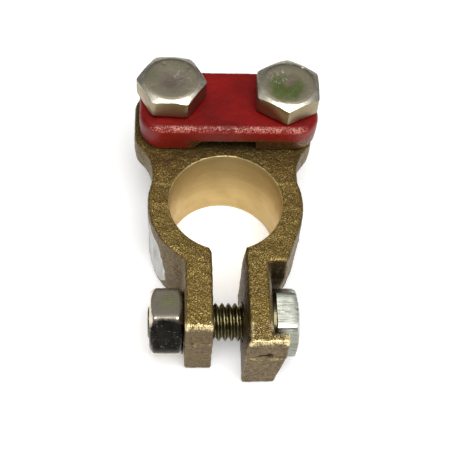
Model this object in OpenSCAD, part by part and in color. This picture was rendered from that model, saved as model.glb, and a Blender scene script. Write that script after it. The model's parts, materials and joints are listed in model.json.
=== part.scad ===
// Car battery post clamp: a slit brass casting that a pinch bolt closes round the battery
// post, with a screwed-down bar that holds the cable behind it.
// The origin is on the post bore's axis, at the casting's bottom face. +Z is up, the cable
// bar is towards +Y and the two pinch ears are towards -Y.

/* [Casting] */
// Diameter of the post bore
bore_d = 18; // [15:0.1:22]
// Wall of the ring round the bore
ring_wall = 3.5; // [2.9:0.1:4.3]
// Height of the casting
body_h = 14.3; // [11.9:0.1:18]
// How far the neck behind the ring is narrower than the ring, on each side
neck_depth = 0.6; // [0.3:0.1:1]
// Distance from the neck's middle back to the centre of the platform's round front corner
neck_run = 8.1; // [7.5:0.1:9]

/* [Platform] */
// Thickness of the platform, whose top is level with the ring's
platform_t = 5.3; // [4:0.1:8]
// Distance from the ring's back to the platform's rear face
platform_behind = 10.9; // [9.5:0.1:14]
// Distance from the bore back to where the platform's front corners start
platform_start = 0.2; // [0:0.1:0.6]
// Corner radius of the platform
platform_r = 4.5; // [3.5:0.1:5.4]
// Distance from the platform's side to the axis of a clamp bolt
bolt_inset = 5.5; // [4.6:0.1:7]

/* [Ears] */
// Width of the slit between the ears
slit_w = 4.7; // [3:0.1:5.8]
// How far the slit sits right of the bore's axis
slit_x = 0.05; // [0:0.05:0.6]
// Thickness of the left ear
left_ear_t = 4.4; // [3.6:0.1:5.3]
// Reach of the left ear in front of the pinch bolt's axis
left_ear_ahead = 5.4; // [4.5:0.1:8]
// Thickness of the right ear behind the bolt head
right_ear_t = 4.6; // [3.8:0.1:5.5]
// Thickness of the right ear's lip in front of the bolt head
lip_t = 1.85; // [1.5:0.05:3]
// Depth of the recess that takes the bolt head
recess_depth = 1.75; // [1:0.05:3.5]
// Extra width of the right ear where it leaves the ring
shoulder_extra = 0.6; // [0:0.1:1.2]
// Angle in front of +X at which the right ear's flank leaves the ring
flank_angle = 12; // [8:1:16]
// Height up to which the right ear's outer side leans in
lean_h = 9; // [7:0.5:11]
// How far the right ear's outer side leans in at the bottom
lean_in = 1.1; // [0.5:0.1:2.3]
// How far behind the recess the leaning side runs
lean_behind = 2.2; // [1.5:0.1:3]

/* [Cable bar] */
// How much shorter than the platform the bar is
bar_short = 0.5; // [0:0.1:2]
// Distance from the bore back to the bar's front face
bar_front_gap = 1.3; // [0.5:0.1:2]
// Distance from the platform's rear face forward to the bar's rear face
bar_rear_gap = 0.1; // [0:0.1:0.4]
// Thickness of the bar
bar_t = 5; // [4:0.1:7]
// Corner radius of the bar
bar_r = 4; // [2.5:0.1:5]
// Radius of the bar's rounded top edge
bar_edge_r = 1.1; // [0.4:0.1:1.5]
// How far the bar and its bolts sit right of the bore's axis
bar_x = 0.75; // [0:0.05:1]
// Width of the cable channel under the bar
channel_w = 8.7; // [7.2:0.1:11]
// Height of the cable channel under the bar
channel_h = 1.9; // [1:0.1:2.4]
// How far the left foot's side leans away from the channel
channel_lean = 1.4; // [0:0.1:1.6]
// Distance from the channel's side to the axis of a clamp bolt
bolt_to_channel = 5.05; // [4.9:0.05:7]

/* [Fasteners] */
// Thread diameter of the bolts
thread_d = 6; // [5:0.1:6.5]
// Thread pitch
pitch = 1; // [0.8:0.05:1.25]
// Width across flats of the heads and the nut
hex_af = 10; // [9:0.1:12]
// Height of a bolt head
head_h = 4; // [3:0.1:5]
// Depth of the shallow dish in a bolt head
dish_depth = 0.25; // [0.1:0.05:0.5]
// Width of the flat rim round that dish
dish_rim = 0.8; // [0.5:0.1:1.2]
// Length of a bolt's tapered tip
tip_l = 0.75; // [0.5:0.05:1]
// Length of plain shank under a bolt's head, at least
plain_l = 1; // [0.5:0.1:2]
// Height of the nut
nut_h = 5.2; // [3.2:0.1:6.2]
// Length of a clamp bolt under its head
clamp_bolt_l = 16; // [12:0.5:16.5]
// Distance from the bar's middle line back to the pair of clamp bolts
clamp_back = 0.5; // [-0.5:0.1:0.8]
// How far the left clamp bolt sits behind that pair's line, and the right one in front
clamp_skew = 0.35; // [0:0.05:0.5]
// Gap between the nut's rear corner and the ring
nut_clear = 0.6; // [0.3:0.1:2]
// Height of the lowest flat of the nut above the casting's bottom
nut_up = 0.8; // [0.5:0.1:1.5]
// How far the pinch bolt's end stands out of the nut
pinch_end = 0.3; // [0:0.1:3]
// Turn of the left clamp bolt's head
left_head_turn = 27; // [0:1:60]
// Turn of the right clamp bolt's head
right_head_turn = 58; // [0:1:60]
// Turn of the pinch bolt's head, from one flat straight up
pinch_head_turn = 6; // [-30:1:30]
// Turn of the nut, from one flat straight up
nut_turn = -9; // [-30:1:30]

/* [Clearances] */
// Radial gap between a bolt and its clearance hole
hole_gap = 0.3; // [0.15:0.05:0.5]
// Radial gap between a bolt's crests and the threaded hole or nut that it runs in
thread_gap = 0.05; // [0.03:0.01:0.08]
// Gap between the bolt head's corners and the ends of its recess
recess_gap = 0.18; // [0.1:0.01:0.6]

/* [Hidden] */
$fn = 96;
// Overshoot of a cut past the face it opens
over = 1;
// A cut's overlap where it meets a face
eps = 0.001;
// Colours
brass = [0.62, 0.47, 0.25];
red_paint = [0.66, 0.07, 0.07];
zinc_yellow = [0.68, 0.66, 0.5];
zinc_grey = [0.55, 0.56, 0.55];

bore_r = bore_d / 2;
ring_r = bore_r + ring_wall;
thread_r = thread_d / 2;
// A crest lies this far inside the nominal thread
crest_allowance = 0.03;
// Depth of a thread, and the width of its flat crest, as shares of the pitch
depth_share = 0.61;
crest_share = 0.125;
crest_r = thread_r - crest_allowance;
root_r = thread_r - depth_share * pitch;
tip_r = root_r - 0.1;
tapped_r = crest_r + thread_gap;
hole_r = thread_r + hole_gap;
corner_r = hex_af / sqrt(3);
// Radius of the flat circle on top of a head, and the slope of the chamfer round it
head_flat_r = 0.425 * hex_af;
head_slope = 0.4;
// The same for both ends of the nut
nut_flat_r = 0.465 * hex_af;
nut_slope = 0.72;
// Radius and height of the round seat under a head
seat_r = 0.44 * hex_af;
seat_h = 0.4;
// How much wider a head's dish is at its top than at its floor
dish_flare = 0.5;
// Countersink at each end of the nut's thread: its widest radius, its narrowest and its depth
sink_wide_r = thread_r + 0.4;
sink_narrow_r = thread_r - 0.1;
sink_h = 0.5;

left_ear_in = slit_x - slit_w / 2;
left_ear_out = left_ear_in - left_ear_t;
right_ear_in = slit_x + slit_w / 2;
recess_floor = right_ear_in + right_ear_t;
lip_out = recess_floor + recess_depth;
shoulder_out = lip_out + shoulder_extra;
// The nut's rear corner just clears the ring, which sets how far forward the pinch bolt is
pinch_y = sqrt(pow(ring_r + nut_clear, 2) - pow(left_ear_out, 2)) + corner_r;
pinch_z = hex_af / 2 + nut_up;
recess_half = corner_r + recess_gap;
recess_back_y = -pinch_y + recess_half;
recess_front_y = -pinch_y - recess_half;
lip_front_y = recess_front_y - lip_t;
left_ear_front_y = -pinch_y - left_ear_ahead;
nut_out = left_ear_out - nut_h;
pinch_bolt_l = recess_floor - nut_out + pinch_end;

clamp_spacing = channel_w + 2 * bolt_to_channel;
platform_w = clamp_spacing + 2 * bolt_inset;
platform_back = ring_r + platform_behind;
platform_front = bore_r + platform_start;
platform_d = platform_back - platform_front;
platform_arc_x = platform_w / 2 - platform_r;
platform_arc_y = platform_front + platform_r;
// The neck's circle just meets the round corner of the platform
neck_half = ring_r - neck_depth;
neck_y = platform_arc_y - neck_run;
neck_a = neck_half - platform_arc_x;
neck_r = (pow(neck_a, 2) + pow(neck_run, 2) - pow(platform_r, 2)) / (2 * (platform_r - neck_a));
neck_x = neck_half + neck_r;
neck_overlap = 0.05;
neck_inset = 0.2;
// How far the neck's outline runs into the platform's
neck_merge = 1;

bar_l = platform_w - bar_short;
bar_back = platform_back - bar_rear_gap;
bar_d = bar_back - bore_r - bar_front_gap;
bar_mid_y = bar_back - bar_d / 2;
bar_top = body_h + bar_t;
clamp_mid_y = bar_mid_y + clamp_back;
left_bolt = [bar_x - clamp_spacing / 2, clamp_mid_y + clamp_skew];
right_bolt = [bar_x + clamp_spacing / 2, clamp_mid_y - clamp_skew];

// A plain rectangle with round corners
module round_rect(w, d, r) {
    square([w, d - 2 * r], center = true);
    square([w - 2 * r, d], center = true);
    for (x = [-1, 1], y = [-1, 1])
        translate([x * (w / 2 - r), y * (d / 2 - r)]) circle(r = r);
}

// The point just inside the neck's circle on the line from its centre at a given angle
function neck_point(angle) =
    [neck_x - (neck_r - neck_inset) * cos(angle), neck_y + (neck_r - neck_inset) * sin(angle)];

// The platform's outline from above, with the hollow necks that lead to the ring
module platform_outline() {
    front = neck_point(-atan2(neck_y, neck_x));
    rear = neck_point(atan2(neck_run, neck_x - platform_arc_x));
    difference() {
        union() {
            translate([0, platform_back - platform_d / 2])
                round_rect(platform_w, platform_d, platform_r);
            polygon([[-bore_r, neck_y / 2], [bore_r, neck_y / 2], front, rear,
                     [platform_arc_x - neck_merge, platform_arc_y + neck_merge],
                     [neck_merge - platform_arc_x, platform_arc_y + neck_merge],
                     [-rear[0], rear[1]], [-front[0], front[1]]]);
        }
        for (side = [-1, 1])
            translate([side * neck_x, neck_y]) circle(r = neck_r + neck_overlap);
    }
}

module left_ear() {
    translate([left_ear_out, left_ear_front_y]) square([left_ear_t, -left_ear_front_y]);
}

// The right ear's plan: the flank from the ring, the wall under the bolt head and the lip
module right_ear() {
    flank_y = -ring_r * sin(flank_angle);
    flank_x = ring_r * cos(flank_angle);
    polygon([[right_ear_in, 0], [right_ear_in, lip_front_y], [lip_out, lip_front_y],
             [lip_out, recess_front_y], [recess_floor, recess_front_y],
             [recess_floor, recess_back_y], [shoulder_out, recess_back_y],
             [flank_x, flank_y]]);
}

// A wedge that leans the lower outer side of the right ear inwards
module lean_cut(x_out, y_from, y_to) {
    translate([0, y_to, 0]) rotate([90, 0, 0]) linear_extrude(y_to - y_from)
        polygon([[x_out, lean_h], [x_out - lean_in, 0], [x_out - lean_in, -over],
                 [x_out + over, -over], [x_out + over, lean_h]]);
}

module body() {
    color(brass) difference() {
        union() {
            linear_extrude(body_h) {
                circle(r = ring_r);
                left_ear();
                right_ear();
            }
            translate([0, 0, body_h - platform_t]) linear_extrude(platform_t)
                platform_outline();
        }
        translate([0, 0, -over]) cylinder(r = bore_r, h = body_h + 2 * over);
        translate([left_ear_in, lip_front_y - over, -over])
            cube([slit_w, -lip_front_y + over, body_h + 2 * over]);
        lean_cut(lip_out, lip_front_y - over, recess_front_y + over);
        lean_cut(shoulder_out, recess_back_y - over, recess_back_y + lean_behind);
        translate([shoulder_out + over, -pinch_y, pinch_z]) rotate([0, -90, 0])
            cylinder(r = hole_r, h = shoulder_out - left_ear_out + 2 * over);
        for (p = [left_bolt, right_bolt])
            translate([p[0], p[1], -over]) cylinder(r = tapped_r, h = body_h + 2 * over);
    }
}

// One round corner of the bar, with the rounded top edge
module bar_corner() {
    rotate_extrude($fn = 32) {
        square([bar_r, bar_t - bar_edge_r]);
        square([bar_r - bar_edge_r, bar_t]);
        translate([bar_r - bar_edge_r, bar_t - bar_edge_r]) intersection() {
            circle(r = bar_edge_r, $fn = 24);
            square(bar_edge_r);
        }
    }
}

module clamp_bar() {
    color(red_paint) difference() {
        translate([bar_x, bar_mid_y, body_h]) hull()
            for (x = [-1, 1], y = [-1, 1])
                translate([x * (bar_l / 2 - bar_r), y * (bar_d / 2 - bar_r), 0]) bar_corner();
        translate([bar_x, bar_back + over, body_h]) rotate([90, 0, 0])
            linear_extrude(bar_d + 2 * over)
                polygon([[-channel_w / 2 - channel_lean, 0], [-channel_w / 2, channel_h],
                         [channel_w / 2, channel_h], [channel_w / 2, 0],
                         [channel_w / 2, -over], [-channel_w / 2 - channel_lean, -over]]);
        for (p = [left_bolt, right_bolt])
            translate([p[0], p[1], body_h - over]) cylinder(r = hole_r, h = bar_t + 2 * over);
    }
}

// Threaded shank below z = 0, drawn as rings at the thread's real pitch and depth
module shank(length) {
    turns = floor((length - tip_l - plain_l) / pitch);
    crest = crest_share * pitch;
    start = -(length - tip_l);
    rotate_extrude() polygon(concat(
        [[0, 0], [crest_r, 0]],
        [for (i = [turns : -1 : 1], k = [0 : 2])
            [k == 1 ? root_r : crest_r, start + i * pitch - (k == 0 ? crest : k * pitch / 2)]],
        [[crest_r, start], [tip_r, -length], [0, -length]]));
}

// Hexagonal blank with the corners of one or both ends turned off
module hex_blank(height, flat_r, slope, both) {
    reach = corner_r + over;
    drop = (reach - flat_r) * slope;
    intersection() {
        rotate(30) cylinder(r = corner_r, h = height, $fn = 6);
        rotate_extrude() polygon(concat([[0, 0]],
            both ? [[flat_r, 0], [reach, drop]] : [[reach, 0]],
            [[reach, height - drop], [flat_r, height], [0, height]]));
    }
}

// Hex-head bolt with the head's seat at z = 0 and the head above it
module hex_bolt(length) {
    dish_r = head_flat_r - dish_rim;
    difference() {
        union() {
            cylinder(r = seat_r, h = seat_h + eps);
            translate([0, 0, seat_h])
                hex_blank(head_h - seat_h, head_flat_r, head_slope, false);
        }
        translate([0, 0, head_h - dish_depth])
            cylinder(r1 = dish_r - dish_flare, r2 = dish_r, h = dish_depth + eps);
    }
    shank(length);
}

module left_clamp_bolt() {
    color(zinc_yellow) translate([left_bolt[0], left_bolt[1], bar_top])
        rotate(left_head_turn) hex_bolt(clamp_bolt_l);
}

module right_clamp_bolt() {
    color(zinc_yellow) translate([right_bolt[0], right_bolt[1], bar_top])
        rotate(right_head_turn) hex_bolt(clamp_bolt_l);
}

module pinch_bolt() {
    color(zinc_grey) translate([recess_floor, -pinch_y, pinch_z])
        rotate([pinch_head_turn, 0, 0]) rotate([0, 90, 0]) hex_bolt(pinch_bolt_l);
}

module pinch_nut() {
    color(zinc_grey) translate([nut_out, -pinch_y, pinch_z])
        rotate([nut_turn, 0, 0]) rotate([0, 90, 0]) difference() {
            hex_blank(nut_h, nut_flat_r, nut_slope, true);
            translate([0, 0, -over]) cylinder(r = tapped_r, h = nut_h + 2 * over);
            for (end = [0, 1])
                translate([0, 0, end * nut_h]) mirror([0, 0, end])
                    translate([0, 0, -eps])
                        cylinder(r1 = sink_wide_r, r2 = sink_narrow_r, h = sink_h);
        }
}

body();
clamp_bar();
left_clamp_bolt();
right_clamp_bolt();
pinch_bolt();
pinch_nut();
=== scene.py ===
"""Looks for the battery post clamp: detailed pieces, materials, floor, light and camera.

Shapes are worked out in millimetres and become metres when they are made into meshes."""

import json
import math

import bpy
import numpy as np
import openvdb
from mathutils import Matrix, Vector


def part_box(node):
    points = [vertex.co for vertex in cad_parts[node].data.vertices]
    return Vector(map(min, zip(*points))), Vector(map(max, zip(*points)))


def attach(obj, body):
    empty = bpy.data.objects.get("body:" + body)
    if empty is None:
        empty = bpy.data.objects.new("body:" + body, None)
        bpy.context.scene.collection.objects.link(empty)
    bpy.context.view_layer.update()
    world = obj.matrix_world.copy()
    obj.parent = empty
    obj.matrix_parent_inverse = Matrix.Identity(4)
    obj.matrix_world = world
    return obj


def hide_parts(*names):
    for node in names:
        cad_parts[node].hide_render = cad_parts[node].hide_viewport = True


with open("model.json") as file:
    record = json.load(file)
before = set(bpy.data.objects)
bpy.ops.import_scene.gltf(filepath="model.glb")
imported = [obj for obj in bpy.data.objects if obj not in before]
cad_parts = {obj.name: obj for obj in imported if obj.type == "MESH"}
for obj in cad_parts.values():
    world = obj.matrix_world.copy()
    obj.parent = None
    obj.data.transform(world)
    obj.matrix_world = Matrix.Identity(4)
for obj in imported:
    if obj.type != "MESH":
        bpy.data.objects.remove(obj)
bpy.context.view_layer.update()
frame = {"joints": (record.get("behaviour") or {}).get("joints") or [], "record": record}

MM = 0.001


def in_mm(lengths):
    """Lengths from the frame, in millimetres to the nearest hundredth."""
    return [round(length / MM, 2) for length in lengths]


def box_mm(node):
    """The lowest and the highest corner of a CAD node, in millimetres."""
    low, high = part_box(node)
    return in_mm(low), in_mm(high)


def hinge_axis(name):
    """A point on a hinge's axis, in millimetres."""
    return next(in_mm(joint["pos_m"]) for joint in frame["joints"] if joint["name"] == name)


# Sizes and places from the frame, in millimetres
BODY_LOW, BODY_HIGH = box_mm("body")
BAR_LOW, BAR_HIGH = box_mm("clamp_bar")
BOLT_LOW, BOLT_HIGH = box_mm("left_clamp_bolt")
PINCH_LOW, PINCH_HIGH = box_mm("pinch_bolt")
NUT_LOW, NUT_HIGH = box_mm("pinch_nut")
BORE_R = next(m["dims"]["r_mm"] for m in frame["record"]["mounts"] if m["name"] == "post_bore")
BODY_H = BODY_HIGH[2]
PLATE_HALF, PLATE_BACK = BODY_HIGH[:2]
LIP_FRONT = BODY_LOW[1]
BAR_TOP = BAR_HIGH[2]
HEAD_H = BOLT_HIGH[2] - BAR_TOP
CLAMP_BOLT_L = BAR_TOP - BOLT_LOW[2]
RECESS_X = PINCH_HIGH[0] - HEAD_H
PINCH_BOLT_L = RECESS_X - PINCH_LOW[0]
NUT_OUT = NUT_LOW[0]
NUT_H = NUT_HIGH[0] - NUT_LOW[0]
LEFT_EAR_OUT = NUT_HIGH[0]
PINCH_Y, PINCH_Z = hinge_axis("nut_turn")[1:]
BOLT_AXES = {side: hinge_axis(side + "_bolt_turn")[:2] for side in ("left", "right")}

# The casting's other sizes, as in the CAD source
RING_R = BORE_R + 3.5
PLATE_BOTTOM, PLATE_FRONT, PLATE_R = BODY_H - 5.3, BORE_R + 0.2, 4.5
# The hollow arc of the right neck, and how far its narrowest place is from the middle
NECK_X, NECK_Y, NECK_R = 19.84, 5.6, 7.94
NECK_HALF = NECK_X - NECK_R
SLIT_L, SLIT_R = -2.3, 2.4
LEFT_EAR_FRONT = PINCH_Y - 5.4
RECESS_HALF = 5.95
RECESS_BACK, RECESS_FRONT = PINCH_Y + RECESS_HALF, PINCH_Y - RECESS_HALF
LIP_OUT = RECESS_X + 1.75
SHOULDER_OUT = LIP_OUT + 0.6
# Up to what height the right ear's outer side leans in, and how far at the bottom
LEAN_H, LEAN_IN = 9.0, 1.1
# Radii of the clearance holes and the tapped holes
HOLE_R, TAPPED_R = 3.3, 3.02

# The cable bar's other sizes
BAR_R, BAR_EDGE = 4.0, 1.1
CHANNEL_L, CHANNEL_R, CHANNEL_H, CHANNEL_LEAN = -3.6, 5.1, 1.9, 1.4

# The fasteners: width across flats, the flat, chamfer, seat and dish of a head, then the nut
AF = 10.0
FLAT_R, SLOPE = 4.25, 0.4
SEAT_R, SEAT_H = 4.4, 0.4
DISH_R, DISH_DEPTH = 3.45, 0.1
NUT_FLAT_R, NUT_SLOPE, NUT_MOUTH_R = 4.65, 0.72, 3.4
# Their thread, and the end of a bolt
PITCH, CREST_R, ROOT_R = 1.0, 2.97, 2.39
TIP_R, TIP_L = 2.29, 0.75
# How far each is turned about its own axis, in degrees
BOLT_TURNS = {"left": 27.0, "right": 58.0}
NUT_TURN, PINCH_TURN = -9.0, 6.0

# Height of the mould's parting line
PARTING_Z = 9.0
# How far inside the CAD model's outer sides the casting's relief is trimmed
MARGIN = 0.02
# Points round a turned hexagon or thread, and rows of points along each millimetre of thread
SIDES, ROWS_PER_MM = 144, 16

# Each random pattern has its own seed
SEEDS = {
    "coarse": 1, "medium": 2, "fine": 3,
    "ridge": 11, "flaw_path": 21, "flaw_gaps": 22, "gate_sheen": 31,
    "bar_coarse": 41, "bar_fine": 42,
    "left_bolt": 5, "right_bolt": 6, "pinch_bolt": 7,
}


# ---------------------------------------------------------------- fields
def axes(lo, hi, step):
    """Grid coordinates along X, Y and Z, shaped to broadcast."""
    counts = [int(math.ceil((b - a) / step)) + 1 for a, b in zip(lo, hi)]
    x, y, z = (a + step * np.arange(count) for a, count in zip(lo, counts))
    return x[:, None, None], y[None, :, None], z[None, None, :]


def smooth_union(a, b, k):
    """a and b joined, with the inner edge between them rounded over a width of k."""
    h = np.clip(0.5 + 0.5 * (b - a) / k, 0, 1)
    return b + (a - b) * h - k * h * (1 - h)


def smooth_cut(a, b, k):
    """What is left of a outside b, with the edge between them rounded."""
    return -smooth_union(-a, b, k)


def round_and(a, b, r):
    """Where a and b overlap, with a round edge of radius r."""
    u, v = np.maximum(a + r, 0), np.maximum(b + r, 0)
    return np.minimum(np.maximum(a, b), -r) + np.sqrt(u * u + v * v)


def rect(x, y, x0, x1, y0, y1, r):
    """Distance to a rectangle with corner radius r. The bounds may be fields."""
    dx = np.abs(x - (x0 + x1) / 2) - ((x1 - x0) / 2 - r)
    dy = np.abs(y - (y0 + y1) / 2) - ((y1 - y0) / 2 - r)
    u, v = np.maximum(dx, 0), np.maximum(dy, 0)
    return np.sqrt(u * u + v * v) + np.minimum(np.maximum(dx, dy), 0) - r


def polygon(x, y, points):
    """Signed distance to a polygon in the XY plane, negative inside."""
    best = np.full(np.broadcast(x, y).shape, np.inf)
    inside = np.zeros(best.shape, bool)
    for (ax, ay), (bx, by) in zip(points, points[1:] + points[:1]):
        ex, ey = bx - ax, by - ay
        wx, wy = x - ax, y - ay
        t = np.clip((wx * ex + wy * ey) / (ex * ex + ey * ey), 0, 1)
        best = np.minimum(best, (wx - ex * t) ** 2 + (wy - ey * t) ** 2)
        cross = (ay > y) != (by > y)
        if ay != by:
            inside ^= cross & (x < ex * (y - ay) / ey + ax)
    return np.where(inside, -1, 1) * np.sqrt(best)


def rise(value, start, end):
    """0 up to start and 1 from end, straight between them."""
    return np.clip((value - start) / (end - start), 0, 1)


def bell(value, centre, width):
    """1 at the centre, and fading out over about that width on each side."""
    return np.exp(-(((value - centre) / width) ** 2))


def noise(x, y, z, spacing, seed):
    """Smooth seeded noise from -1 to 1, with features of about that spacing."""
    weights = []
    for c in (x.ravel(), y.ravel(), z.ravel()):
        t = (c - c[0]) / spacing
        i = np.floor(t).astype(int)
        f = t - i
        f = f * f * (3 - 2 * f)
        w = np.zeros((len(c), i.max() + 2))
        w[np.arange(len(c)), i] = 1 - f
        w[np.arange(len(c)), i + 1] += f
        weights.append(w)
    values = np.random.default_rng(SEEDS[seed]).uniform(-1, 1, [w.shape[1] for w in weights])
    for w in weights:
        values = np.tensordot(values, w, axes=([0], [1]))
    return values


def relief(x, y, z, *layers):
    """Layers of noise added up. Each is a depth, a spacing and a seed's name."""
    return sum(depth * noise(x, y, z, spacing, seed) for depth, spacing, seed in layers)


def blurred(field, cells):
    """The field averaged over a box that reaches that many cells each way."""
    width = 2 * cells + 1
    for axis in range(3):
        pad = [(cells + 1, cells) if a == axis else (0, 0) for a in range(3)]
        total = np.cumsum(np.pad(field, pad, mode="edge"), axis=axis)
        n = field.shape[axis]
        high = np.take(total, np.arange(width, width + n), axis=axis)
        low = np.take(total, np.arange(n), axis=axis)
        field = (high - low) / width
    return field


def wear_of(field, cells, full):
    """1 on sharp outer edges, 0 on flats and -1 in inner corners."""
    return np.clip((blurred(field, cells) - field) / full, -1, 1)


def sample(field, lo, step, points):
    """The field's value at points, between grid cells."""
    t = (points - np.array(lo)) / step
    i = np.clip(np.floor(t).astype(int), 0, np.array(field.shape) - 2)
    f = np.clip(t - i, 0, 1)
    out = 0
    for dx in (0, 1):
        for dy in (0, 1):
            for dz in (0, 1):
                w = (f[:, 0] if dx else 1 - f[:, 0]) * (f[:, 1] if dy else 1 - f[:, 1])
                w = w * (f[:, 2] if dz else 1 - f[:, 2])
                out = out + w * field[i[:, 0] + dx, i[:, 1] + dy, i[:, 2] + dz]
    return out


# ---------------------------------------------------------------- meshes
def field_mesh(name, field, lo, step, marks):
    """A mesh of the field's zero surface. marks are fields kept as point attributes."""
    grid = openvdb.FloatGrid(float(field.max()))
    grid.copyFromArray(field.astype(np.float32))
    points, quads = grid.convertToQuads(isovalue=0.0)
    points = points * step + np.array(lo)
    quads = quads.astype(int)
    a, b, c, d = (points[quads[:, k]] for k in range(4))
    volume = (np.cross(b - a, c - a) * a).sum() + (np.cross(c - a, d - a) * a).sum()
    if volume < 0:
        quads = quads[:, ::-1]
    mesh = bpy.data.meshes.new(name)
    mesh.from_pydata((points * MM).tolist(), [], quads.tolist())
    for key, mark in marks.items():
        attribute = mesh.attributes.new(key, "FLOAT", "POINT")
        values = sample(mark, lo, step, points).astype(np.float32)
        attribute.data.foreach_set("value", values)
    return mesh


def lathe_mesh(name, radii, heights, close):
    """A closed mesh from rows of radii and heights, each row one ring of points.
    close caps the first and last ring at the axis; otherwise the rows form a loop."""
    rows, n = radii.shape
    angle = np.arange(n) * 2 * math.pi / n
    points = np.stack([radii * np.cos(angle), radii * np.sin(angle), heights], -1)
    points = points.reshape(-1, 3).tolist()
    faces = []
    for i in range(rows - 1 if close else rows):
        a, b = i * n, (i + 1) % rows * n
        faces += [(a + k, b + k, b + (k + 1) % n, a + (k + 1) % n) for k in range(n)]
    if close:
        points += [[0, 0, float(heights[0].mean())], [0, 0, float(heights[-1].mean())]]
        top, bottom = rows * n, rows * n + 1
        faces += [(top, k, (k + 1) % n) for k in range(n)]
        last = (rows - 1) * n
        faces += [(bottom, last + (k + 1) % n, last + k) for k in range(n)]
    mesh = bpy.data.meshes.new(name)
    mesh.from_pydata([[c * MM for c in p] for p in points], [], faces)
    return mesh


def shade(mesh, crease):
    """Smooth shading, with sharp edges where faces meet at more than crease degrees."""
    mesh.shade_smooth()
    mesh.set_sharp_from_angle(angle=math.radians(crease))


def piece(name, mesh, materials, crease=40):
    """A new object of the mesh, in the scene."""
    obj = bpy.data.objects.new(name, mesh)
    bpy.context.scene.collection.objects.link(obj)
    mesh.validate()
    shade(mesh, crease)
    for material in materials:
        mesh.materials.append(material)
    return obj


def cut(obj, cutters):
    """Takes the closed cutter meshes out of obj, for good."""
    for mesh in cutters:
        tool = bpy.data.objects.new("cutter", mesh)
        bpy.context.scene.collection.objects.link(tool)
        modifier = obj.modifiers.new("cut", "BOOLEAN")
        modifier.operation, modifier.solver = "DIFFERENCE", "MANIFOLD"
        modifier.object = tool
        evaluated = obj.evaluated_get(bpy.context.evaluated_depsgraph_get())
        done = bpy.data.meshes.new_from_object(evaluated)
        obj.modifiers.clear()
        obj.data = done
        bpy.data.objects.remove(tool)


def turned(profile, matrix=None, n=64):
    """A closed turned solid from (radius, height) pairs, for cutting."""
    radii = np.repeat([[r] for r, _ in profile], n, 1)
    heights = np.repeat([[h] for _, h in profile], n, 1)
    mesh = lathe_mesh("turned", radii, heights, True)
    if matrix is not None:
        mesh.transform(matrix)
    return mesh


def upright_at(x, y, z, turn=0.0):
    """Takes a piece built up the Z axis to that place, turned about its own axis."""
    return Matrix.Translation(Vector((x, y, z)) * MM) @ Matrix.Rotation(math.radians(turn), 4, "Z")


def along_x(x, y, z, turn=0.0):
    """Takes a piece built up the Z axis onto the X axis at that place."""
    place = Matrix.Translation(Vector((x, y, z)) * MM)
    tilt = Matrix.Rotation(math.radians(90), 4, "Y")
    return place @ Matrix.Rotation(math.radians(turn), 4, "X") @ tilt


# ---------------------------------------------------------------- casting
def arc(x, y, r, start, end, count):
    """Points along an arc, from one angle to the other."""
    return [(x + r * math.cos(a), y + r * math.sin(a)) for a in np.linspace(start, end, count)]


def platform_points():
    """The platform's outline, with the necks, anticlockwise from the right neck. It starts
    inside the ring, at neck_start."""
    neck_start, points_on_arc = 3.0, 12
    corner_x, front, back = PLATE_HALF - PLATE_R, PLATE_FRONT + PLATE_R, PLATE_BACK - PLATE_R
    meet = math.atan2(front - NECK_Y, corner_x - NECK_X) % (2 * math.pi)
    right = [(NECK_HALF, neck_start)]
    right += arc(NECK_X, NECK_Y, NECK_R, math.pi, meet, points_on_arc + 2)
    right += arc(corner_x, front, PLATE_R, meet - math.pi, 0, points_on_arc)[1:]
    right += arc(corner_x, back, PLATE_R, 0, math.pi / 2, points_on_arc)
    left = [(-x, y) for x, y in reversed(right)]
    return right + left


def right_ear_field(x, y, z):
    """The right ear: a wall, its lip in front of the recess and its shoulder behind it."""
    wall_r, lip_r, shoulder_r, lip_blend, shoulder_blend = 0.4, 0.45, 0.4, 0.25, 0.3
    # Near the top the recess's floor curves inwards
    curve_in, curve_from, curve_to, curve_power = 0.65, 9.5, 14.0, 1.5
    floor_x = RECESS_X - curve_in * rise(z, curve_from, curve_to) ** curve_power
    lean = LEAN_IN * rise(z, LEAN_H, 0)
    wall = rect(x, y, 0.0, floor_x, LIP_FRONT, 0.0, wall_r)
    lip = rect(x, y, 0.0, LIP_OUT - lean, LIP_FRONT, RECESS_FRONT, lip_r)

    # The shoulder's flank spreads towards the ring, and its lean fades out on the way. It
    # ends where it touches the ring.
    slope, cosine, lean_run, touch = 0.339, 0.947, 4.0, -0.32 * RING_R
    flank_x = SHOULDER_OUT + slope * (y - RECESS_BACK)
    straight = rise(y, RECESS_BACK, RECESS_BACK + lean_run)
    flank = (x - flank_x + lean * (1 - straight)) * cosine
    shoulder = round_and(flank, RECESS_BACK - y, shoulder_r)
    shoulder = np.maximum(np.maximum(shoulder, y - touch), -x)
    return smooth_union(smooth_union(wall, lip, lip_blend), shoulder, shoulder_blend)


def ring_field(x, y, z):
    """The ring and both ears, with draft and a ragged parting ridge."""
    ear_r, left_blend, right_blend, edge_r, draft = 0.5, 0.8, 0.6, 0.5, 0.012
    ridge_h, ridge_w, ridge_wander, ridge_grain = 0.13, 0.3, 0.2, 1.3
    ring = np.hypot(x, y) - RING_R
    left_ear = rect(x, y, LEFT_EAR_OUT, 0.0, LEFT_EAR_FRONT, 0.0, ear_r)
    outline = smooth_union(smooth_union(ring, left_ear, left_blend), right_ear_field(x, y, z), right_blend)
    ragged = noise(x, y, z, ridge_grain, "ridge")
    ridge = ridge_h * bell(z, PARTING_Z + ridge_wander * ragged, ridge_w) * (0.6 + 0.4 * ragged)
    slab = np.abs(z - BODY_H / 2) - BODY_H / 2
    return round_and(outline + draft * np.abs(z - PARTING_Z) - ridge, slab, edge_r)


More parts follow.
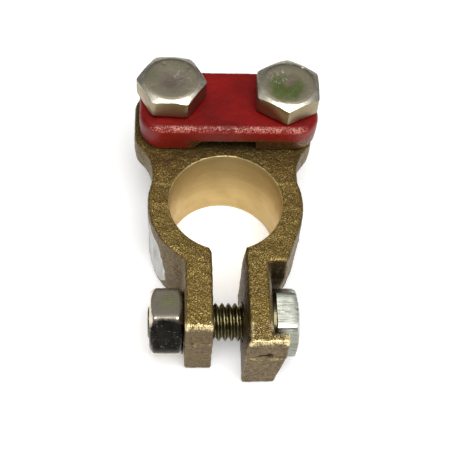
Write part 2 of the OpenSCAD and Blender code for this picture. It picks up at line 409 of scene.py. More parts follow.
def platform_field(x, y, z):
    """The platform behind the ring, with draft above and below its parting height."""
    parting, draft_above, draft_below, edge_r = 11.0, 0.02, 0.08, 0.6
    draft = draft_above * np.maximum(z - parting, 0) + draft_below * np.maximum(parting - z, 0)
    slab = np.abs(z - (BODY_H + PLATE_BOTTOM) / 2) - (BODY_H - PLATE_BOTTOM) / 2
    return round_and(polygon(x, y, platform_points()) + draft, slab, edge_r)


def slit_field(x, y, z):
    """The slit. It flares a little at the top, and its corners at the bore are bevelled."""
    flare_from, flare_to, flare_left, flare_right, front = 11.3, 14.3, 0.1, 0.55, -40.0
    bevel_start, bevel_end, bevel_slope, bevel_cosine, corner_r = -9.4, -7.5, 0.5, 0.9, 0.1
    flare = rise(z, flare_from, flare_to) ** 2
    slit = rect(x, y, SLIT_L - flare_left * flare, SLIT_R + flare_right * flare, front, 0.0, corner_r)
    bevel = np.abs(x - (SLIT_L + SLIT_R) / 2) - (SLIT_R - SLIT_L) / 2 - (y - bevel_start) * bevel_slope
    bevel = np.maximum(bevel * bevel_cosine, y - bevel_end)
    return np.minimum(slit, bevel)


def flaw_field(x, y, z):
    """1 in the flaw along the parting line on the right ear's front, and in its notch."""
    height, wander, wander_grain, width, gap_grain = PARTING_Z + 0.7, 0.45, 1.1, 0.2, 0.9
    middle_x, full_half, fade = 5.0, 1.28, 1.6
    notch_x, notch_z, notch_w, notch_h, notch_edge = 6.0, 10.2, 0.55, 0.6, 1.4
    at_front = y < LIP_FRONT + 1.2
    path = height + wander * noise(x, y, z, wander_grain, "flaw_path")[:, :1, :1]
    line = bell(z, path, width) * rise(np.abs(x - middle_x), full_half + fade, full_half)
    line = line * np.clip(1.0 + 0.8 * noise(x, y, z, gap_grain, "flaw_gaps"), 0, 1)
    notch = np.clip(notch_edge - np.hypot((x - notch_x) / notch_w, (z - notch_z) / notch_h), 0, 1)
    return np.maximum(line, notch) * at_front


def gate_field(x, y, z):
    """1 in the ragged patch on the ring's lower left wall where the casting's gate was
    ground off, which is also painted pale as a sheen of the white floor. It leans a little, and its
    outline is a rounded rectangle."""
    turn_middle, turn_half, z_middle, z_half, lean = -164.0, 21.0, 6.0, 5.6, 0.78
    squareness, edge, ragged, grain, inner_r = 3.5, 4.0, 1.1, 1.3, 11.2
    turn = np.degrees(np.arctan2(y, x))
    turn = np.where(turn > 0, turn - 360, turn)
    across = (turn - turn_middle + lean * (z - z_middle)) / turn_half
    along = (z - z_middle) / z_half
    inside = 1 - (np.abs(across) ** squareness + np.abs(along) ** squareness)
    gate_sheen = np.clip(inside * edge + ragged * noise(x, y, z, grain, "gate_sheen") + 0.5, 0, 1)
    return gate_sheen * (np.hypot(x, y) > inner_r)


def body_mesh():
    """The casting before its bore and holes are cut."""
    step, lo, hi = 0.2, (-16.0, -25.8, -0.9), (16.0, 24.4, 15.2)
    platform_blend, slit_edge, wear_cells, wear_full = 0.12, 0.3, 2, 0.12
    skin, flaw_depth, gate_depth = 0.05, 0.25, 0.12
    x, y, z = axes(lo, hi, step)
    solid = smooth_union(ring_field(x, y, z), platform_field(x, y, z), platform_blend)
    solid = smooth_cut(solid, slit_field(x, y, z), slit_edge)
    wear = wear_of(solid, wear_cells, wear_full)
    flaw, gate_sheen = flaw_field(x, y, z), gate_field(x, y, z)

    sand = relief(x, y, z, (0.03, 1.5, "coarse"), (0.03, 0.75, "medium"), (0.035, 0.42, "fine"))
    solid = solid + skin + sand * (1 - gate_sheen) + flaw_depth * flaw + gate_depth * gate_sheen
    solid = np.maximum(solid, np.maximum(-z, LIP_FRONT + MARGIN - y))
    solid = np.maximum(solid, np.maximum(np.abs(x) - PLATE_HALF, y - PLATE_BACK) + MARGIN)
    return field_mesh("body_shape", solid, lo, step, {"wear": wear, "gate_sheen": gate_sheen, "flaw": flaw})


# ---------------------------------------------------------------- fasteners
def helix(n, z, crest, root):
    """Radii of a right-hand thread at n angles, one row for each height z. flat and flanks
    are shares of the pitch: the root's flat and both flanks. The crest has what is left."""
    flat, flanks = 0.125, 0.7
    angle = np.arange(n) / n
    phase = (z[:, None] / PITCH - angle[None, :]) % 1.0
    share = np.clip((np.abs(phase - 0.5) * 2 - flat) / flanks, 0, 1)
    return root + (crest - root) * share


def hex_radius(n):
    """Radius of the hexagon at each of n angles, with slightly rounded corners."""
    corner_run, corner_cut = 0.3, 0.1
    angle = np.degrees(np.arange(n) * 2 * math.pi / n)
    off = np.radians((angle + 30) % 60 - 30)
    radius = AF / 2 / np.cos(off)
    corner = AF / math.sqrt(3)
    return radius - corner_cut * np.clip((radius - corner + corner_run) / corner_run, 0, 1) ** 2


def head_rows(ring, edge):
    """A bolt head as rows of radii and heights: dished top, chamfer, flats and seat. Where
    two of them meet, close rows round the edge a little."""
    rows = []
    for r in np.linspace(0.5, FLAT_R - 0.35, 9):
        hollow = 0.5 + 0.5 * math.cos(math.pi * min(r / DISH_R, 1))
        rows.append((r * ring, (HEAD_H - DISH_DEPTH * hollow) * ring))
    rows.append(((FLAT_R - 0.15) * ring, (HEAD_H - 0.015) * ring))
    rows.append(((FLAT_R + 0.05) * ring, (HEAD_H - 0.06) * ring))
    for t in (0.2, 0.4, 0.6, 0.8, 0.95):
        r = FLAT_R + (edge - FLAT_R) * t
        rows.append((r, HEAD_H - SLOPE * (r - FLAT_R)))
    low = HEAD_H - SLOPE * (edge - FLAT_R)
    rows.append((edge - 0.02, low - 0.01))
    rows.append((edge, low - 0.07))
    for t in (0.33, 0.66):
        rows.append((edge, low * (1 - t) + SEAT_H * t))
    rows.append((edge, (SEAT_H + 0.08) * ring))
    rows.append((edge - 0.08, SEAT_H * ring))
    rows.append((SEAT_R * ring, SEAT_H * ring))
    for r in (SEAT_R - 0.03, 4.0, CREST_R + 0.25):
        rows.append((r * ring, 0.0 * ring))
    return rows


def dent(heights, n, seed):
    """Small dents from handling, on the rim and the chamfer of a head."""
    dents, first_row, last_row = 14, 7, 16
    draw = np.random.default_rng(SEEDS[seed])
    angle = np.arange(n) * 2 * math.pi / n
    for _ in range(dents):
        middle, row = draw.uniform(0, 2 * math.pi), draw.integers(first_row, last_row)
        width, deep = draw.uniform(0.04, 0.12), draw.uniform(0.02, 0.06)
        away = (angle - middle + math.pi) % (2 * math.pi) - math.pi
        heights[row] -= deep * bell(away, 0, width)


def bolt_mesh(name, length):
    """A hex bolt up the Z axis, with the face under its head at 0."""
    under, plain, run_out = 0.1, 0.6, 0.8
    ring, edge = np.ones(SIDES), hex_radius(SIDES)
    rows = head_rows(ring, edge) + [(CREST_R * ring, -under * ring)]
    radii = np.array([r for r, _ in rows])
    heights = np.array([h for _, h in rows])
    dent(heights, SIDES, name)
    z = -under - np.arange(1, int((length - under) * ROWS_PER_MM)) / ROWS_PER_MM
    threaded = np.clip((-z - plain) / run_out, 0, 1)[:, None]
    r = CREST_R * (1 - threaded) + helix(SIDES, z, CREST_R, ROOT_R) * threaded
    r = np.minimum(r, TIP_R + (z + length)[:, None] * (CREST_R - TIP_R) / TIP_L)
    radii = np.vstack([radii, r, TIP_R * ring[None]])
    heights = np.vstack([heights, z[:, None] * ring[None], -length * ring[None]])
    return lathe_mesh(name + "_shape", radii, heights, True)


def nut_mesh(name):
    """A hex nut up the Z axis, from 0, chamfered on both faces and threaded inside."""
    thread_depth = 0.3
    ring, edge = np.ones(SIDES), hex_radius(SIDES)
    face = [(NUT_MOUTH_R * ring, 0.0 * ring), (NUT_FLAT_R * ring - 0.05, 0.0 * ring)]
    for t in (0.04, 0.3, 0.6, 0.9):
        r = NUT_FLAT_R + (edge - NUT_FLAT_R) * t
        face.append((r, NUT_SLOPE * (r - NUT_FLAT_R) - 0.04 * math.sin(math.pi * t)))
    low = NUT_SLOPE * (edge - NUT_FLAT_R)
    face += [(edge - 0.03, low + 0.02), (edge, low + 0.1), (edge, low + 0.5)]
    rows = [(r, NUT_H - h) for r, h in face] + face[::-1]
    z = np.arange(1, int(NUT_H * ROWS_PER_MM)) / ROWS_PER_MM
    deep, shallow = TAPPED_R + thread_depth, TAPPED_R
    r = helix(SIDES, z, shallow, deep)
    r = np.maximum(r, NUT_MOUTH_R - np.minimum(z, NUT_H - z)[:, None])
    radii = np.vstack([[r for r, _ in rows], r])
    heights = np.vstack([[h for _, h in rows], z[:, None] * ring[None]])
    return lathe_mesh(name + "_shape", radii, heights, False)


# ---------------------------------------------------------------- cable bar
def bar_mesh():
    """The cable bar: two feet, the channel between them and a rounded top edge."""
    step, around, over = 0.16, 0.9, 0.7
    foot_h, draft, foot_edge, channel_edge, channel_cosine = 2.2, 0.05, 0.25, 0.3, 0.8
    wear_cells, wear_full, skin = 3, 0.16, 0.03
    lo = (BAR_LOW[0] - around, BAR_LOW[1] - around, BODY_H - over)
    hi = (BAR_HIGH[0] + around, BAR_HIGH[1] + around, BAR_TOP + over)
    x, y, z = axes(lo, hi, step)
    up = z - BODY_H
    plan = rect(x, y, BAR_LOW[0], BAR_HIGH[0], BAR_LOW[1], BAR_HIGH[1], BAR_R)
    plan = plan + draft * np.maximum(foot_h - up, 0)
    solid = round_and(round_and(plan, z - BAR_TOP, BAR_EDGE), -up, foot_edge)
    left = (x - CHANNEL_L + CHANNEL_LEAN * (1 - up / CHANNEL_H)) * channel_cosine
    channel = np.maximum(np.maximum(-left, x - CHANNEL_R), up - CHANNEL_H)
    solid = smooth_cut(solid, channel, channel_edge)
    wear = wear_of(solid, wear_cells, wear_full)
    bumps = relief(x, y, z, (0.022, 1.1, "bar_coarse"), (0.022, 0.5, "bar_fine"))
    solid = solid + skin + bumps
    for bolt_x, bolt_y in BOLT_AXES.values():
        solid = np.maximum(solid, HOLE_R - np.hypot(x - bolt_x, y - bolt_y))
    return field_mesh("bar_shape", solid, lo, step, {"wear": wear})


# ---------------------------------------------------------------- materials
class Nodes:
    """A small builder for a material's nodes. Lengths and places are in millimetres."""

    def __init__(self, name):
        self.material = bpy.data.materials.new(name)
        self.material.use_nodes = True
        self.tree = self.material.node_tree
        self.tree.nodes.clear()
        self.shader = self.add("ShaderNodeBsdfPrincipled")
        out = self.add("ShaderNodeOutputMaterial")
        self.tree.links.new(self.shader.outputs[0], out.inputs[0])
        place = self.add("ShaderNodeTexCoord")
        self.normal = place.outputs["Normal"]
        scale = self.add("ShaderNodeVectorMath", operation="SCALE")
        self.tree.links.new(place.outputs["Object"], scale.inputs[0])
        scale.inputs["Scale"].default_value = 1 / MM
        self.mm = scale.outputs[0]
        split = self.add("ShaderNodeSeparateXYZ")
        self.tree.links.new(self.mm, split.inputs[0])
        self.x, self.y, self.z = split.outputs

    def add(self, kind, **props):
        node = self.tree.nodes.new(kind)
        for key, value in props.items():
            setattr(node, key, value)
        return node

    def put(self, socket, value):
        """Links a socket to the input, or sets the input to a number, vector or colour."""
        if isinstance(value, bpy.types.NodeSocket):
            self.tree.links.new(value, socket)
        elif isinstance(value, tuple) and len(value) == 3 and socket.type == "RGBA":
            socket.default_value = (*value, 1)
        else:
            socket.default_value = value

    def fill(self, node, **values):
        """Puts values into inputs, named with underscores for spaces."""
        for key, value in values.items():
            self.put(node.inputs[key.replace("_", " ")], value)

    def math(self, operation, *values):
        node = self.add("ShaderNodeMath", operation=operation)
        for socket, value in zip(node.inputs, values):
            self.put(socket, value)
        return node.outputs[0]

    def weighted(self, a, weight, b):
        """a times weight, plus b."""
        return self.math("MULTIPLY_ADD", a, weight, b)

    def both(self, a, b):
        """a times b, which is full only where both are."""
        return self.math("MULTIPLY", a, b)

    def vector(self, operation, a, b):
        node = self.add("ShaderNodeVectorMath", operation=operation)
        self.put(node.inputs[0], a)
        node.inputs[1].default_value = b
        return node.outputs["Value" if operation == "DISTANCE" else "Vector"]

    def noise(self, scale, detail=2.0, rough=0.55, stretch=None, distort=0.0):
        """Noise with about that many features in each millimetre."""
        place = self.vector("MULTIPLY", self.mm, stretch) if stretch else self.mm
        node = self.add("ShaderNodeTexNoise")
        self.fill(node, Vector=place, Scale=scale, Detail=detail, Roughness=rough, Distortion=distort)
        return node.outputs["Fac"]

    def cells(self, scale):
        node = self.add("ShaderNodeTexVoronoi", feature="F1")
        self.fill(node, Vector=self.mm, Scale=scale)
        return node.outputs["Distance"]

    def step(self, value, low, high, to_low=0.0, to_high=1.0):
        """A smooth step from to_low at low to to_high at high."""
        node = self.add("ShaderNodeMapRange", interpolation_type="SMOOTHSTEP")
        self.fill(node, Value=value, From_Min=low, From_Max=high, To_Min=to_low, To_Max=to_high)
        return node.outputs["Result"]

    def mix(self, factor, a, b):
        """Colour a, or colour b where the factor is 1. The numbers are the colour sockets."""
        node = self.add("ShaderNodeMix", data_type="RGBA")
        for i, value in ((0, factor), (6, a), (7, b)):
            self.put(node.inputs[i], value)
        return node.outputs[2]

    def ramp(self, value, *stops):
        """Colours along a value. Each stop is a position and a colour."""
        node = self.add("ShaderNodeValToRGB")
        self.put(node.inputs[0], value)
        set_stops(node, stops)
        return node.outputs[0]

    def mark(self, name):
        """A field that the mesh keeps at its points."""
        return self.add("ShaderNodeAttribute", attribute_name=name).outputs["Fac"]

    def facing(self, axis):
        """How far the surface faces along X, Y or Z, from -1 to 1."""
        node = self.add("ShaderNodeSeparateXYZ")
        self.put(node.inputs[0], self.normal)
        return node.outputs["XYZ".index(axis)]

    def bump(self, height, depth, strength):
        node = self.add("ShaderNodeBump")
        self.fill(node, Height=height, Distance=depth * MM, Strength=strength)
        return node.outputs[0]

    def finish(self, colour, roughness, normal, metallic):
        shader = self.shader
        self.fill(shader, Base_Color=colour, Roughness=roughness, Normal=normal, Metallic=metallic)
        return self.material


def set_stops(node, stops):
    """Gives a colour ramp its stops."""
    elements = node.color_ramp.elements
    while len(elements) < len(stops):
        elements.new(0.5)
    for element, (at, colour) in zip(elements, stops):
        element.position, element.color = at, (*colour, 1)


def shaded(colour, level):
    return tuple(c * level for c in colour)


def cast_brass():
    """Sand-cast brass: coarse bright grain on top, walls painted darker as shade, wear, painted shade
    towards the cable bar and in the inner corners, painted highlights on the ears' front edges, and the
    ground patch painted pale as a sheen.
    """
    t = Nodes("cast_brass")
    grain, sand = t.noise(5.2, 2.0, 0.6), t.noise(9.5, 1.0, 0.6)
    skin = t.math("ADD", t.both(grain, 0.55), t.both(sand, 0.45))
    top = t.ramp(
        skin,
        (0.38, (0.06, 0.036, 0.01)),
        (0.49, (0.2, 0.13, 0.034)),
        (0.56, (0.36, 0.25, 0.075)),
        (0.64, (0.85, 0.66, 0.28)),
    )
    rough_skin = t.weighted(t.noise(2.2, 3.0, 0.7), 0.6, t.both(skin, 0.4))
    side = t.ramp(
        rough_skin,
        (0.36, (0.06, 0.038, 0.014)),
        (0.5, (0.145, 0.1, 0.042)),
        (0.64, (0.3, 0.215, 0.1)),
    )
    up = t.facing("Z")
    # Walls take a duller, darker grain than tops: the grain is the casting's, and the darker walls are
    # painted shade
    colour = t.mix(t.step(t.math("ABSOLUTE", up), 0.35, 0.8), side, top)

    # Darker patches all over, and painted shade on the tops towards the cable bar
    patches = t.noise(0.28, 3.0, 0.6)
    colour = t.mix(t.step(patches, 0.35, 0.7, 0.0, 0.4), colour, (0.09, 0.058, 0.022))
    behind = t.step(t.weighted(patches, 1.0, t.y), 4.0, 10.5, 0.0, 0.5)
    colour = t.mix(t.both(t.step(up, 0.5, 0.9), behind), colour, (0.05, 0.03, 0.011))

    # Edges rubbed a little brighter, with a painted highlight on the ears' front top edges and a painted
    # glint along the parting line
    wear = t.mark("wear")
    fronts = t.step(t.y, LEFT_EAR_FRONT + 1.6, LEFT_EAR_FRONT + 0.6)
    fronts = t.both(fronts, t.step(t.z, BODY_H - 1.6, BODY_H - 0.9))
    worn = t.step(t.weighted(skin, 2.2, wear), 1.7, 2.3, 0.0, 0.55)
    colour = t.mix(worn, colour, (0.36, 0.26, 0.12))
    glint = t.weighted(t.noise(1.4, 2.0, 0.6), 1.5, wear)
    bright = t.both(t.step(t.weighted(skin, 5.0, glint), 3.5, 4.1), fronts)
    colour = t.mix(bright, colour, (0.95, 0.78, 0.42))
    # A painted glint in specks along the parting line on the ears' fronts
    seam_glint = t.both(
        t.step(t.z, PARTING_Z - 0.9, PARTING_Z - 0.3),
        t.step(t.z, PARTING_Z + 0.5, PARTING_Z),
    )
    seam_glint = t.both(seam_glint, t.step(t.y, LEFT_EAR_FRONT + 1.0, LEFT_EAR_FRONT))
    colour = t.mix(t.both(seam_glint, t.step(rough_skin, 0.5, 0.6)), colour, (0.5, 0.37, 0.17))

    # Painted shade in the inner corners, weaker low down, and darker in the flaw
    hollow_shade = t.both(t.step(wear, -0.8, -0.2, 0.75, 0.0), t.step(t.z, 8.5, 10.5, 0.35, 1.0))
    hollow_shade = t.math("MAXIMUM", hollow_shade, t.step(t.mark("flaw"), 0.3, 0.7))
    colour = t.mix(hollow_shade, colour, (0.035, 0.02, 0.01))

    # The ground patch, painted pale grey and less metallic as a sheen of the white floor
    gate_sheen = t.step(t.mark("gate_sheen"), 0.45, 0.6)
    pale = t.ramp(
        t.noise(1.2, 3.0, 0.6, stretch=(1, 1, 0.15)),
        (0.3, (0.4, 0.38, 0.33)),
        (0.5, (0.56, 0.56, 0.53)),
        (0.7, (0.7, 0.7, 0.68)),
    )
    colour = t.mix(gate_sheen, colour, pale)
    rough = t.weighted(worn, -0.08, t.step(skin, 0.35, 0.7, 0.58, 0.34))
    normal = t.bump(t.weighted(t.cells(2.6), -0.35, skin), 0.12, 0.8)
    return t.finish(colour, rough, normal, t.weighted(gate_sheen, -0.6, 0.97))


def machined_brass():
    """The machined bore: pale bands round it, duller near the top, with a painted highlight round its top
    rim.
    """
    t = Nodes("machined_brass")
    bands = t.noise(1.0, 4.0, 0.6, stretch=(0.05, 0.05, 1.7))
    lines = t.noise(1.0, 2.0, 0.5, stretch=(0.15, 0.15, 9.0))
    blotch = t.noise(0.35, 3.0, 0.6)
    colour = t.ramp(bands, (0.2, (0.52, 0.38, 0.16)), (0.8, (0.62, 0.46, 0.2)))
    colour = t.mix(t.step(blotch, 0.45, 0.75, 0.0, 0.35), colour, (0.5, 0.35, 0.145))
    colour = t.mix(t.step(t.z, BODY_H - 2.6, BODY_H - 0.3, 0.0, 0.3), colour, (0.36, 0.25, 0.09))
    # A painted highlight round the bore's top rim
    colour = t.mix(t.step(t.z, BODY_H - 0.2, BODY_H - 0.16), colour, (0.7, 0.55, 0.27))
    rough = t.step(blotch, 0.3, 0.7, 0.42, 0.55)
    normal = t.bump(t.weighted(lines, 0.5, bands), 0.02, 0.5)
    return t.finish(colour, rough, normal, 0.75)


def red_paint():
    """Red paint, worn back to brass along the lower right and on sharp edges, with a painted glint along
    the front top edge and a lighter red painted on front faces, as lit."""
    t = Nodes("red_paint")
    grain, sand = t.noise(2.6, 3.0, 0.65), t.noise(5.0, 2.0, 0.6)
    skin = t.math("ADD", t.both(grain, 0.6), t.both(sand, 0.4))
    paint = t.ramp(
        t.noise(0.22, 3.0, 0.6),
        (0.3, (0.13, 0.003, 0.003)),
        (0.5, (0.19, 0.004, 0.003)),
        (0.72, (0.235, 0.006, 0.005)),
    )
    brass = t.ramp(
        skin,
        (0.35, (0.06, 0.028, 0.011)),
        (0.52, (0.13, 0.066, 0.027)),
        (0.68, (0.3, 0.19, 0.09)),
    )
    ragged = t.weighted(t.noise(0.9, 4.0, 0.65), 1.8, -0.9)
    worn_side = t.step(t.math("ADD", t.x, ragged), -7.0, -4.6)
    low = t.step(t.math("ADD", t.z, ragged), BODY_H + 2.9, BODY_H + 1.9)
    chips = t.step(t.weighted(skin, 1.0, t.mark("wear")), 1.22, 1.36)
    bare = t.math("MAXIMUM", t.both(low, worn_side), chips)

    front = BAR_LOW[1]
    # A painted glint in granular specks along the front top edge
    rim = t.both(
        t.step(t.y, front + 1.15, front + 0.6),
        t.step(t.z, BAR_TOP - 0.95, BAR_TOP - 0.5),
    )
    glint = t.weighted(t.noise(0.7, 2.0, 0.6), 0.5, t.noise(4.5, 2.0, 0.7))
    rim = t.both(rim, t.step(glint, 0.72, 0.88, 0.0, 0.85))
    # Faces turned to the front are painted a lighter red, as lit
    lit_front = t.step(t.facing("Y"), -0.6, -0.95, 0.0, 0.4)
    paint = t.mix(lit_front, paint, (0.33, 0.018, 0.009))
    colour = t.mix(bare, t.mix(rim, paint, (0.72, 0.3, 0.22)), brass)
    rough = t.step(skin, 0.35, 0.7, 0.5, 0.26)
    t.shader.inputs["Specular IOR Level"].default_value = 0.25
    return t.finish(colour, rough, t.bump(skin, 0.12, 0.55), t.both(bare, 0.75))


def zinc(name, base, spots, rough, grooves=0.0, flanks=None, shade_below_x=None, painted_sparkle=None):
    """Plated steel with soft stains, specks and fine scratches.

    Each spot is a place, the radii where it is full and where it ends, a colour and how
    strong it is. rough is the lowest and the highest roughness. grooves is how strong the
    scratches are. flanks is the darker colour painted on upright faces as shade, shade_below_x the
    place along X below which the head's seat and the shank are painted dark as shade under
    the head, and glitter the middle of a patch of painted sparkle highlights."""
    t = Nodes(name)
    stains = t.noise(0.5, 4.0, 0.6, distort=0.6)
    fine = t.noise(3.0, 3.0, 0.6)
    scratch = t.noise(1.0, 3.0, 0.6, stretch=(0.5, 7.0, 1.0))
    colour = t.mix(t.step(stains, 0.35, 0.65), base, shaded(base, 0.7))
    wobble, wobble_reach = t.noise(0.7, 2.0), 1.6
    for middle, full, end, tint, strength in spots:
        away = t.weighted(wobble, wobble_reach, t.vector("DISTANCE", t.mm, middle))
        inside = t.step(away, end + wobble_reach / 2, full + wobble_reach / 2, 0.0, strength)
        colour = t.mix(inside, colour, tint)
    specks = t.step(t.noise(2.2, 2.0, 0.7), 0.62, 0.68)
    colour = t.mix(t.both(specks, 0.35), colour, (0.9, 0.88, 0.8))
    # A patch of painted sparkle highlights
    if painted_sparkle:
        near = t.step(t.vector("DISTANCE", t.mm, painted_sparkle), 2.1, 1.2)
        sparks = t.step(t.noise(2.6, 3.0, 0.75), 0.56, 0.62)
        colour = t.mix(t.both(near, sparks), colour, (1.0, 0.98, 0.9))

    # The turned chamfer is painted bright and granular, as a painted highlight
    tilt = t.math("ABSOLUTE", t.facing("Z"))
    chamfer = t.both(t.step(tilt, 0.8, 0.88), t.step(tilt, 0.985, 0.95))
    chamfer = t.both(chamfer, t.step(t.noise(2.6, 2.0, 0.7), 0.3, 0.6, 0.35, 0.9))
    colour = t.mix(chamfer, colour, (0.92, 0.88, 0.74))
    if grooves:
        colour = t.mix(t.step(scratch, 0.52, 0.36, 0.0, grooves), colour, shaded(base, 0.3))
    # The head's seat and the shank are painted dark, as shade under the head
    if shade_below_x:
        colour = t.mix(t.step(t.x, shade_below_x + 0.05, shade_below_x - 0.05), colour, (0.17, 0.15, 0.075))
    # Upright faces are painted the darker flanks colour, as shade
    if flanks:
        upright = t.step(tilt, 0.6, 0.3, 0.0, 0.9)
        colour = t.mix(upright, colour, t.mix(stains, flanks, shaded(flanks, 0.7)))
    streaks = t.weighted(scratch, 0.4, stains)
    normal = t.bump(t.weighted(scratch, 0.5, fine), 0.02, 0.6)
    return t.finish(colour, t.step(streaks, 0.5, 0.9, *rough), normal, 1.0)


# ---------------------------------------------------------------- pieces
def place(obj, body, node, slot):
    """Makes a piece ride on its body and stand for its CAD node. slot is not used."""
    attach(obj, body)
    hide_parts(node)


def body_cutters():
    """The post bore, the two tapped holes and the hole through both ears."""
    above, bevel, rim_depth, hole_bottom, bore_sides = 1.0, 0.1, 0.05, 1.0, 192
    high, rim = BODY_H + above, BODY_H - rim_depth
    bore = [(BORE_R + bevel + high - rim, high), (BORE_R, rim - bevel), (BORE_R, -above)]
    cutters = [turned(bore, n=bore_sides)]
    for x, y in BOLT_AXES.values():
        cutters.append(turned([(TAPPED_R, high), (TAPPED_R, hole_bottom)], upright_at(x, y, 0)))
    start, end = LEFT_EAR_OUT - above, RECESS_X + above
    ears = along_x(start, PINCH_Y, PINCH_Z)
    return cutters + [turned([(HOLE_R, end - start), (HOLE_R, 0.0)], ears)]


def bore_faces(mesh):
    """Which faces of the casting's mesh are the bore's: they face the axis, near it."""
    reach, inward, not_top = 0.5, -0.5, 0.9
    centre, normal = np.zeros(len(mesh.polygons) * 3), np.zeros(len(mesh.polygons) * 3)
    mesh.polygons.foreach_get("center", centre)
    mesh.polygons.foreach_get("normal", normal)
    centre, normal = centre.reshape(-1, 3) / MM, normal.reshape(-1, 3)
    r = np.hypot(centre[:, 0], centre[:, 1])
    outward = (centre[:, :2] * normal[:, :2]).sum(1) / np.maximum(r, 1e-6)
    return (outward < inward) & (r < BORE_R + reach) & (normal[:, 2] < not_top)


def casting():
    obj = piece("brass_casting", body_mesh(), [cast_brass(), machined_brass()])
    cut(obj, body_cutters())
    obj.data.polygons.foreach_set("material_index", bore_faces(obj.data).astype(np.int32))
    shade(obj.data, 45)
    place(obj, "casting", "body", "cast_brass")


def cable_bar():
    obj = piece("painted_cable_bar", bar_mesh(), [red_paint()])
    place(obj, "cable_bar", "clamp_bar", "red_paint")


def clamp_bolt(side, spots, painted_sparkle):
    """One of the two bolts through the bar. Its spots and its glitter lie on the top of its
    head, so their places have no height."""
    crown = BAR_TOP + HEAD_H
    mesh = bolt_mesh(side + "_bolt", CLAMP_BOLT_L)
    mesh.transform(upright_at(*BOLT_AXES[side], BAR_TOP, BOLT_TURNS[side]))
    look = zinc(
        side + "_yellow_zinc",
        base=(0.68, 0.6, 0.43),
        spots=[((x, y, crown), *spot) for x, y, *spot in spots],
        rough=(0.28, 0.42),
        # The darker colour painted on upright faces as shade
        flanks=(0.33, 0.26, 0.15),
        painted_sparkle=(*painted_sparkle, crown),
    )
    obj = piece(side + "_hex_bolt", mesh, [look], crease=30)
    place(obj, side + "_bolt", side + "_clamp_bolt", "yellow_zinc")


def clamp_bolts():
    pink, green, olive = (0.47, 0.36, 0.29), (0.27, 0.36, 0.09), (0.42, 0.43, 0.27)
    left = [
        (-11.9, 18.4, 0.3, 2.2, olive, 0.7),
        (-6.6, 20.2, 0.3, 2.0, olive, 0.6),
        (-8.5, 17.5, 0.8, 3.0, pink, 0.75),
    ]
    right = [
        (9.9, 16.3, 2.1, 3.6, green, 0.85),
        (10.5, 17.7, 0.3, 1.9, pink, 0.9),
    ]
    # The middles of the patches of painted sparkle on each head
    clamp_bolt("left", left, painted_sparkle=(-6.6, 18.2))
    clamp_bolt("right", right, painted_sparkle=(8.6, 18.6))


def pinch_bolt():
    """The bolt across the ears, with darker patches low on its front and behind its top."""
    middle_x = RECESS_X + 2.2
    spots = [
        ((middle_x, PINCH_Y - 4.8, PINCH_Z + 1.6), 2.2, 3.6, (0.3, 0.31, 0.25), 0.9),
        ((middle_x, PINCH_Y + 4.6, PINCH_Z + 2.2), 2.3, 3.9, (0.14, 0.14, 0.1), 0.9),
    ]
    mesh = bolt_mesh("pinch_bolt", PINCH_BOLT_L)
    mesh.transform(along_x(RECESS_X, PINCH_Y, PINCH_Z, PINCH_TURN))
    look = zinc(
        "pinch_grey_zinc",
        base=(0.62, 0.63, 0.54),
        spots=spots,
        rough=(0.25, 0.42),
        grooves=0.8,
        # Where the painted shade under the head begins
        shade_below_x=RECESS_X + SEAT_H,
    )
    place(piece("pinch_hex_bolt", mesh, [look], crease=30), "pinch_screw", "pinch_bolt", "grey_zinc")


def pinch_nut():
    """The nut, with a yellow stain on its top and black painted low on its front, as a painted reflection
    of the dark surroundings.
    """
    spots = [
        ((NUT_OUT + 3.0, PINCH_Y + 1.2, PINCH_Z + 5), 0.6, 2.2, (0.62, 0.62, 0.3), 0.7),
        # Black painted low on the front face, as a painted reflection of the dark surroundings
        ((NUT_OUT + 2.6, PINCH_Y - 4.2, PINCH_Z + 2.6), 2.9, 3.7, (0.03, 0.03, 0.03), 0.93),
    ]
    mesh = nut_mesh("nut")
    mesh.transform(along_x(NUT_OUT, PINCH_Y, PINCH_Z, NUT_TURN))
    look = zinc("nut_grey_zinc", base=(0.86, 0.76, 0.6), spots=spots, rough=(0.2, 0.34))
    place(piece("pinch_hex_nut", mesh, [look], crease=30), "nut", "pinch_nut", "grey_zinc")


# ---------------------------------------------------------------- stage
def studio():
    """A soft grey sky by height: bright at the horizon, dark above it, pale overhead."""
    world = bpy.data.worlds.new("studio")
    bpy.context.scene.world = world
    world.use_nodes = True
    nodes, links = world.node_tree.nodes, world.node_tree.links
    nodes.clear()
    out = nodes.new("ShaderNodeOutputWorld")
    back = nodes.new("ShaderNodeBackground")
    ramp = nodes.new("ShaderNodeValToRGB")
    split = nodes.new("ShaderNodeSeparateXYZ")
    coord = nodes.new("ShaderNodeTexCoord")
    links.new(coord.outputs["Generated"], split.inputs[0])
    links.new(split.outputs["Z"], ramp.inputs[0])
    links.new(ramp.outputs[0], back.inputs[0])
    links.new(back.outputs[0], out.inputs[0])
    levels = [(0.0, 0.6), (0.1, 0.6), (0.2, 0.04), (0.4, 0.04), (0.7, 0.2), (1.0, 0.5)]
    set_stops(ramp, [(at, (level,) * 3) for at, level in levels])
    bpy.context.scene.view_settings.view_transform = "Standard"


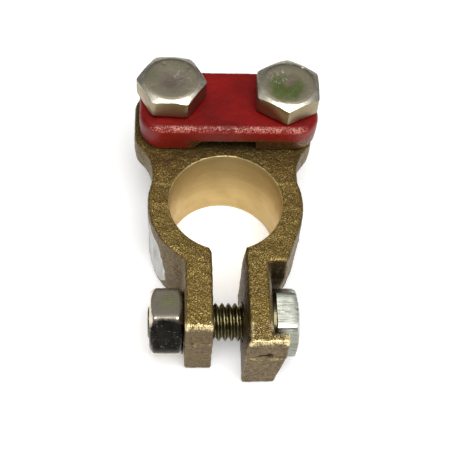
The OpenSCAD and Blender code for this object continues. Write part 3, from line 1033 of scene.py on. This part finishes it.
def lamp(name, at, size, power):
    """A round lamp aimed at the part, its place and size in metres."""
    data = bpy.data.lights.new(name, "AREA")
    data.shape, data.size, data.energy = "DISK", size, power
    obj = bpy.data.objects.new(name, data)
    bpy.context.scene.collection.objects.link(obj)
    obj.location = at
    obj.rotation_euler = (-Vector(at)).to_track_quat("-Z", "Y").to_euler()


def pale_floor():
    """A wide matt floor just under the part, slightly bright of itself."""
    half, low, glow = 3.0, -0.00003, 0.28
    mesh = bpy.data.meshes.new("floor")
    corners = [(-half, -half, low), (half, -half, low), (half, half, low), (-half, half, low)]
    mesh.from_pydata(corners, [], [(0, 1, 2, 3)])
    obj = bpy.data.objects.new("floor", mesh)
    bpy.context.scene.collection.objects.link(obj)
    white = bpy.data.materials.new("floor")
    white.use_nodes = True
    inputs = white.node_tree.nodes["Principled BSDF"].inputs
    inputs["Base Color"].default_value = (0.9, 0.9, 0.9, 1)
    inputs["Roughness"].default_value = 0.9
    inputs["Specular IOR Level"].default_value = 0.1
    inputs["Emission Color"].default_value = (1, 1, 1, 1)
    inputs["Emission Strength"].default_value = glow
    mesh.materials.append(white)


def camera():
    """Looks down on the part from the front and a little to the left, rolled a little."""
    azimuth, elevation, roll = (math.radians(a) for a in (-6.53, 56.58, 5.71))
    target, distance = Vector((0.19, -1.85, 10.0)) * MM, 147.67 * MM
    back = Vector((
        math.sin(azimuth) * math.cos(elevation),
        -math.cos(azimuth) * math.cos(elevation),
        math.sin(elevation),
    ))
    level_right = (-back).cross(Vector((0, 0, 1))).normalized()
    level_up = level_right.cross(-back)
    right = math.cos(roll) * level_right + math.sin(roll) * level_up
    up = math.cos(roll) * level_up - math.sin(roll) * level_right
    data = bpy.data.cameras.new("camera")
    data.sensor_width, data.lens = 36.0, 72.9
    data.clip_start, data.clip_end = 0.01, 10.0
    obj = bpy.data.objects.new("camera", data)
    bpy.context.scene.collection.objects.link(obj)
    turn = Matrix((right, up, back)).transposed().to_4x4()
    obj.matrix_world = Matrix.Translation(target + back * distance) @ turn
    bpy.context.scene.camera = obj


camera()
casting()
cable_bar()
clamp_bolts()
pinch_bolt()
pinch_nut()
studio()
lamp("overhead", at=(0.02, -0.12, 0.45), size=0.42, power=2.1)
lamp("side", at=(0.35, -0.25, 0.35), size=0.25, power=0.3)
pale_floor()
